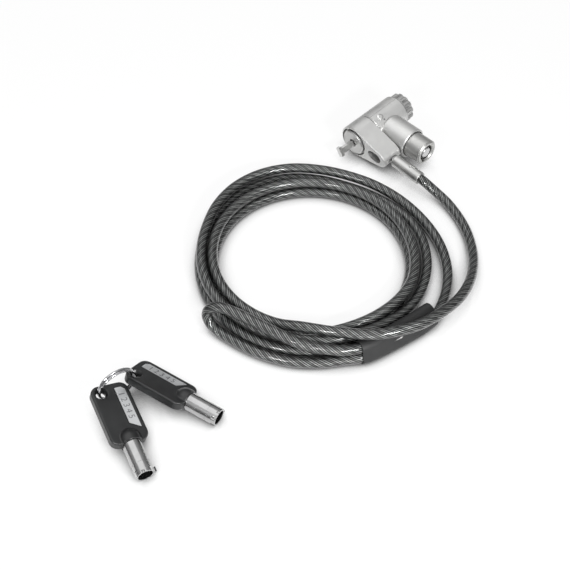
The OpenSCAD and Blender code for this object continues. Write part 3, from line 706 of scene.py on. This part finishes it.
def cable_material(name):
    """Smoky clear coat over a twisted rope: strands and fine wires seen through a smooth gloss,
    with painted shade in the grooves, painted highlight on the crests, and a darkening towards the
    silhouette that is partly painted shade.
    """
    t = material_tree(name)
    uv = t.add("ShaderNodeUVMap", uv_map="run").outputs["UV"]
    split = t.add("ShaderNodeSeparateXYZ", {"Vector": uv})
    along, around = split.outputs["X"], split.outputs["Y"]
    wander = t.math("MULTIPLY", t.noise(CABLE_WANDER, 2), 0.35)

    def lay(turns, per_cm):
        phase = t.math("SUBTRACT", t.math("MULTIPLY", along, per_cm),
                       t.math("MULTIPLY", around, turns))
        phase = t.math("ADD", phase, wander)
        return t.math("ABSOLUTE", t.math("SINE", t.math("MULTIPLY", phase, math.pi)))

    wires, strands = lay(*WIRES), lay(*STRANDS)
    height = t.math("ADD", t.math("MULTIPLY", strands, 0.4), 0.65)
    relief = t.math("MULTIPLY", t.math("POWER", wires, WIRE_SHARPNESS), height)
    flecks = t.math("MULTIPLY", t.math("SUBTRACT", t.noise(CABLE_FLECKS, 2), 0.5), 0.4)
    depth = t.math("ADD", relief, flecks)
    # Darker towards the silhouette: partly the smoky coat's longer path, partly painted shade
    # along the cable's edges
    edge = t.add("ShaderNodeLayerWeight", {"Blend": 0.35}).outputs["Facing"]
    seen = t.math("SUBTRACT", depth, t.math("MULTIPLY", edge, 0.6))
    t.surface(
        Base_Color=t.ramp(seen, ROPE_COLORS_WITH_PAINTED_LIGHT), Metallic=0.6,
        Roughness=t.remap(depth, 0.48, 0.3),
        Coat_Weight=1.0, Coat_Roughness=0.05, Coat_IOR=1.4,
        Normal=t.bump(depth, 0.7, CABLE_BUMP))
    return t.owner


# Each row: two colours, roughness and its spread, scale and strength of the grain
METALS = {
    "body_metal": ((0.66, 0.66, 0.65), (0.56, 0.56, 0.555), 0.5, 0.06, 2600, 0.2),
    "nose_metal": ((0.57, 0.57, 0.56), (0.47, 0.47, 0.465), 0.42, 0.06, 2200, 0.05),
    "rivet_metal": ((0.75, 0.75, 0.74), (0.66, 0.66, 0.65), 0.24, 0.06, 2200, 0.05),
    "dark_steel": ((0.3, 0.3, 0.31), (0.2, 0.2, 0.21), 0.35, 0.06, 2200, 0.05),
    "spring_steel": ((0.55, 0.55, 0.56), (0.42, 0.42, 0.43), 0.28, 0.06, 2200, 0.05),
    "knob_metal": ((0.5, 0.5, 0.495), (0.38, 0.38, 0.375), 0.36, 0.06, 2600, 0.16),
    "plunger_metal": ((0.51, 0.51, 0.5), (0.41, 0.41, 0.4), 0.42, 0.06, 2400, 0.14),
    "brass": ((0.75, 0.6, 0.3), (0.62, 0.47, 0.22), 0.3, 0.06, 2200, 0.05),
    "plug_metal": ((0.6, 0.6, 0.6), (0.48, 0.48, 0.48), 0.25, 0.06, 2200, 0.05),
    "ferrule_metal": ((0.54, 0.54, 0.53), (0.42, 0.42, 0.415), 0.38, 0.06, 2400, 0.12),
    "crimp_metal": ((0.7, 0.7, 0.69), (0.6, 0.6, 0.59), 0.35, 0.06, 2200, 0.05),
    "ring_steel": ((0.5, 0.5, 0.51), (0.38, 0.38, 0.39), 0.14, 0.03, 2400, 0.02),
    "key_nickel": ((0.42, 0.42, 0.42), (0.3, 0.3, 0.3), 0.2, 0.05, 2400, 0.06),
    "plate_silver": ((0.78, 0.79, 0.8), (0.7, 0.71, 0.72), 0.42, 0.06, 2600, 0.15),
}
PLASTICS = {
    "sleeve_black": ((0.011, 0.0113, 0.0116), (0.018, 0.0183, 0.0186), 0.62, 0.05, 1200, 0.25),
    "bow_plastic": ((0.006, 0.0063, 0.0065), (0.011, 0.0115, 0.012), 0.36, 0.05, 2600, 0.2),
}
LOOKS = {name: metal(name, *row) for name, row in METALS.items()}
LOOKS["cable_coat"] = cable_material("cable_coat")
LOOKS.update({name: plastic(name, *row) for name, row in PLASTICS.items()})


def dress(obj, slot_name):
    """Gives the piece one material."""
    obj.data.materials.clear()
    obj.data.materials.append(LOOKS[slot_name])


for part in frame["record"]["subparts"]:
    dress(NODES[part["node"]], part["material_slot"])
dress(NODES["t_bar"], "rivet_metal")
dress(cable, "cable_coat")
dress(sleeve, "sleeve_black")
dress(ring, "ring_steel")
for piece in bows.values():
    dress(piece, "bow_plastic")
for piece in digits:
    dress(piece, "dark_steel")

# ---- floor, world and lamps ----

FLOOR_SIZE, FLOOR_SINK = 3000, 0.1
FLOOR_COLOR = (0.86, 0.86, 0.86, 1)
FLOOR_WHITE = 0.86  # how much of the floor is plain white to the camera and through glass
FLOOR_GLOSS = 0.13  # and in reflections
PAINTED_SHADE_GAP_REACH = 12  # gaps narrower than about this get painted shade
PAINTED_SHADE_GAP_RANGE = (0.3, 0.78)  # glow strength, from painted shade in a closed gap to plain floor
WHITE = (1, 1, 1, 1)
SKY_LOW, SKY_HIGH, SKY_TOP = 0.1, 0.74, 0.85  # light at the horizon and above, and from where
# Each lamp: place, width and height in metres, power in watts
LAMPS = {
    "key_light": ((-150, 250, 720), (0.9, 0.6), 1.8),
    "fill_light": ((-550, -350, 450), (0.7, 0.5), 0.2),
    "glint_light": ((-180, -540, 330), (0.15, 0.05), 2.8),
    "side_glint_light": ((-540, -240, 330), (0.13, 0.04), 1.4),
}
LAMP_AIM = (-80, -60, 0)


def make_floor():
    """White floor that keeps the object's shadow, with painted shade in the narrow gaps, where
    ambient occlusion dims its glow.
    """
    size, z = FLOOR_SIZE * MM, (FLOOR - FLOOR_SINK) * MM
    corners = [(-size, -size, z), (size, -size, z), (size, size, z), (-size, size, z)]
    mesh = bpy.data.meshes.new("floor")
    mesh.from_pydata(corners, [], [(0, 1, 2, 3)])
    floor = add_object("floor", mesh)
    t = material_tree("floor_white")
    t.surface(Base_Color=FLOOR_COLOR, Roughness=0.9)
    path = t.add("ShaderNodeLightPath")
    open_sky = t.add("ShaderNodeAmbientOcclusion", {"Distance": PAINTED_SHADE_GAP_REACH * MM}, samples=8)
    direct = t.math("MAXIMUM", path.outputs["Is Camera Ray"], path.outputs["Is Transmission Ray"])
    seen = t.math("ADD", t.math("MULTIPLY", direct, FLOOR_WHITE),
                  t.math("MULTIPLY", path.outputs["Is Glossy Ray"], FLOOR_GLOSS))
    # Painted shade: ambient occlusion dims the floor's glow in narrow gaps, to the camera and in
    # reflections
    strength = t.remap(open_sky.outputs["AO"], 0.0, 1.0, *PAINTED_SHADE_GAP_RANGE)
    glow_with_painted_shade = t.add("ShaderNodeEmission", {"Color": WHITE, "Strength": strength})
    mix = t.add("ShaderNodeMixShader", {0: seen, 1: t.shader.outputs[0], 2: glow_with_painted_shade.outputs[0]})
    t.set(t.tree.nodes["Material Output"].inputs["Surface"], mix.outputs[0])
    mesh.materials.append(t.owner)


def make_world():
    """White behind the object; as light, a bright ceiling over a dimmer horizon."""
    world = bpy.data.worlds.new("studio")
    bpy.context.scene.world = world
    t = Tree(world, "Background")
    path = t.add("ShaderNodeLightPath")
    direct = t.math("MAXIMUM", path.outputs["Is Camera Ray"], path.outputs["Is Transmission Ray"])
    way = t.add("ShaderNodeSeparateXYZ",
                {"Vector": t.add("ShaderNodeTexCoord").outputs["Generated"]})
    sky = t.remap(way.outputs["Z"], SKY_LOW, SKY_HIGH, 0.0, SKY_TOP)
    strength = t.add("ShaderNodeMix", {"Factor": direct, "A": sky, "B": 1.0})
    t.surface(Color=WHITE, Strength=strength.outputs["Result"])


def make_lamp(name, at, size, power):
    """A rectangular lamp aimed at the object."""
    lamp = bpy.data.lights.new(name, "AREA")
    lamp.shape = "RECTANGLE"
    lamp.size, lamp.size_y = size
    lamp.energy = power
    obj = add_object(name, lamp)
    obj.location = Vector(at) * MM
    aim = (Vector(LAMP_AIM) - Vector(at)).normalized()
    obj.rotation_euler = aim.to_track_quat("-Z", "Y").to_euler()


make_floor()
make_world()
for lamp_name, row in LAMPS.items():
    make_lamp(lamp_name, *row)
bpy.context.scene.view_settings.view_transform = "Standard"
